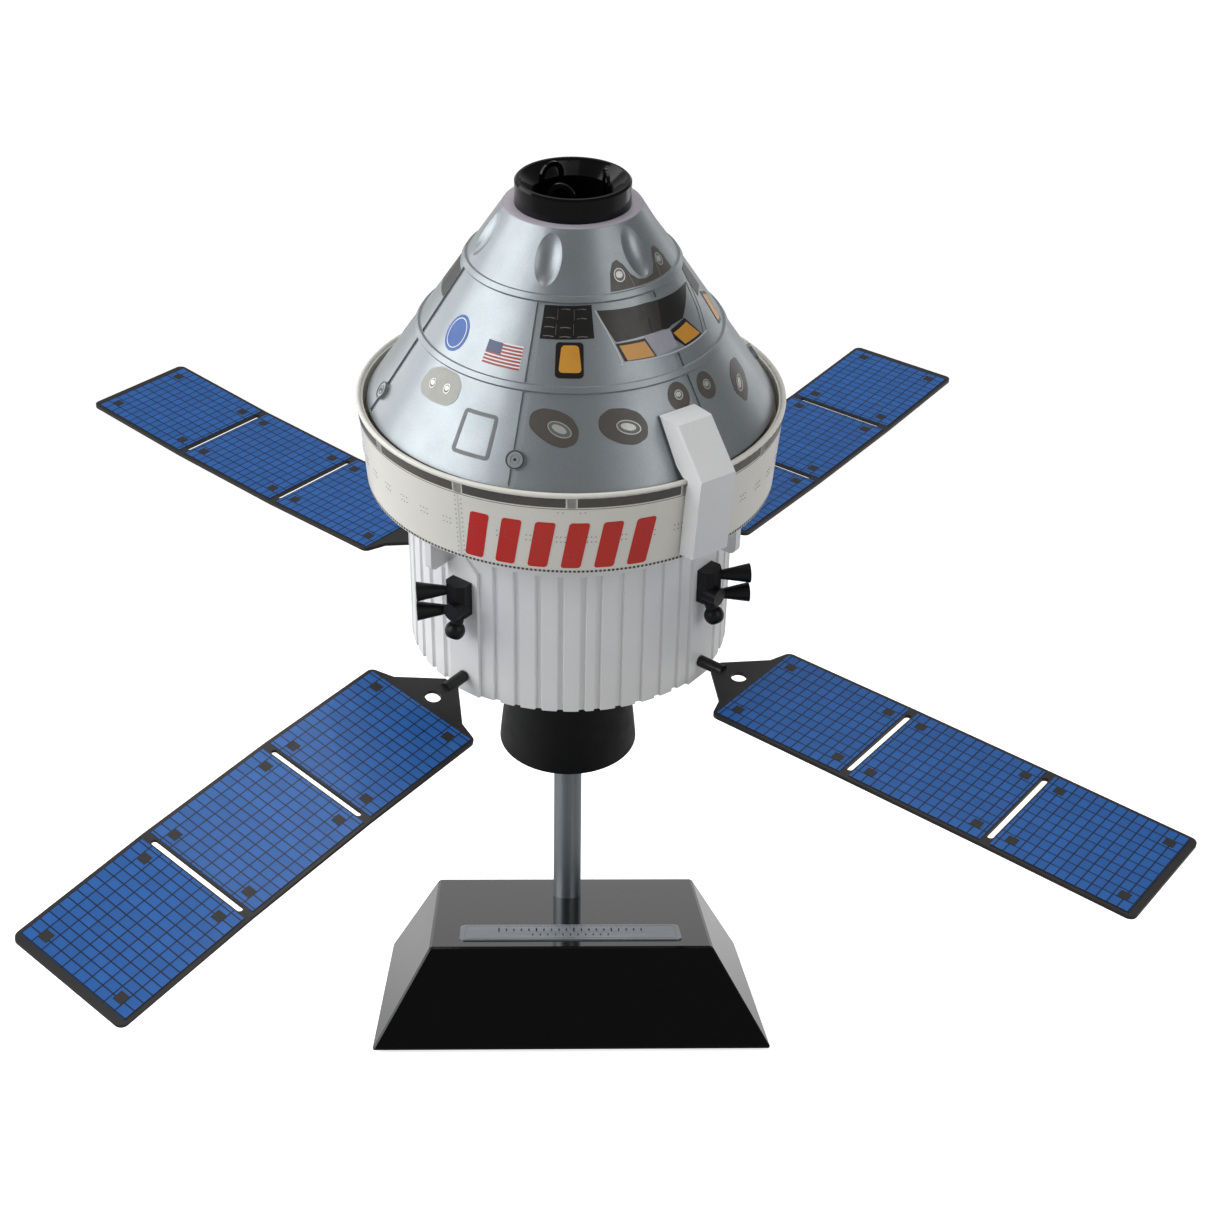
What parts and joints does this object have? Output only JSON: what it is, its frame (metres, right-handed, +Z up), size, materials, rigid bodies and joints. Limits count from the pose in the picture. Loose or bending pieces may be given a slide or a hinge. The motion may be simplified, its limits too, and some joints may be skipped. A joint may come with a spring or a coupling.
{
  "type": "display model spacecraft",
  "caption": "Desk display model of a crew capsule spacecraft with service module and solar arrays that turn on their pins, on a lacquered stand with an upright rod.",
  "frame": {"origin": "middle of the underside of the stand, where it rests on the desk", "axes": "+Z up, -Y to the side with the nameplate, +X to the right seen from that side; the craft leans 26 degrees towards -Y"},
  "size_m": [0.2933, 0.2565, 0.2261],
  "materials": {
    "base_lacquer": "black high-gloss lacquer over wood",
    "base_felt": "black felt",
    "nameplate": "brushed and clear anodised, printed tick marks",
    "rod_metal": "satin turned",
    "sleeve_brass": "turned",
    "nozzle_black": "matt black paint over resin",
    "screw_steel": "bright zinc",
    "module_white": "satin white paint over resin",
    "band_white": "satin warm white paint over resin, printed band",
    "deck_tan": "matt warm brown paint",
    "capsule_silver": "fine metallic silver-grey paint over resin, printed panels",
    "docking_black": "gloss black",
    "pod_black": "satin black paint",
    "pin_metal": "satin black",
    "array_plate": "semi-matt dark brown-black paint",
    "solar_cells": "printed film, blue cells in a dark grid"
  },
  "bodies": {
    "stand": {"stand_base": "base_lacquer", "base_felt": "base_felt", "nameplate": "nameplate"},
    "rod": {"display_rod": "rod_metal"},
    "craft": {"rod_sleeve": "sleeve_brass", "engine_nozzle": "nozzle_black", "nozzle_screw": "screw_steel", "service_module": "module_white", "module_floor": "module_white", "adapter_ring": "band_white", "module_screws": "screw_steel", "adapter_deck": "deck_tan", "deck_screws": "screw_steel", "heat_shield": "capsule_silver", "capsule_shell": "capsule_silver", "docking_ring": "docking_black", "docking_hatch": "docking_black", "docking_petals": "docking_black", "umbilical_housing": "module_white", "thruster_pod_back_right": "pod_black", "pod_nozzles_back_right": "pod_black", "thruster_pod_back_left": "pod_black", "pod_nozzles_back_left": "pod_black", "thruster_pod_front_left": "pod_black", "pod_nozzles_front_left": "pod_black", "thruster_pod_front_right": "pod_black", "pod_nozzles_front_right": "pod_black"},
    "array_back_right": {"array_pin_back_right": "pin_metal", "array_plate_back_right": "array_plate", "solar_cells_back_right": "solar_cells"},
    "array_back_left": {"array_pin_back_left": "pin_metal", "array_plate_back_left": "array_plate", "solar_cells_back_left": "solar_cells"},
    "array_front_left": {"array_pin_front_left": "pin_metal", "array_plate_front_left": "array_plate", "solar_cells_front_left": "solar_cells"},
    "array_front_right": {"array_pin_front_right": "pin_metal", "array_plate_front_right": "array_plate", "solar_cells_front_right": "solar_cells"}
  },
  "joints": [
    {"name": "rod_swivel", "type": "hinge", "parent": "stand", "child": "rod", "pos_m": [0, 0.0168, 0.0242], "axis": [0, 0, 1], "continuous": true},
    {"name": "craft_lift", "type": "slide", "parent": "rod", "child": "craft", "axis": [0, 0, 1], "range_m": [0, 0.045]},
    {"name": "back_right_turn", "type": "hinge", "parent": "craft", "child": "array_back_right", "pos_m": [-0.00021, 0.00508, 0.11017], "axis": [0.634, 0.6974, 0.3341], "continuous": true},
    {"name": "back_left_turn", "type": "hinge", "parent": "craft", "child": "array_back_left", "pos_m": [-0.00021, 0.00508, 0.11017], "axis": [-0.7553, 0.5924, 0.2802], "continuous": true},
    {"name": "front_left_turn", "type": "hinge", "parent": "craft", "child": "array_front_left", "pos_m": [-0.00021, 0.00508, 0.11017], "axis": [-0.6349, -0.681, -0.3649], "continuous": true},
    {"name": "front_right_turn", "type": "hinge", "parent": "craft", "child": "array_front_right", "pos_m": [-0.00021, 0.00508, 0.11017], "axis": [0.7744, -0.5612, -0.292], "continuous": true}
  ]
}
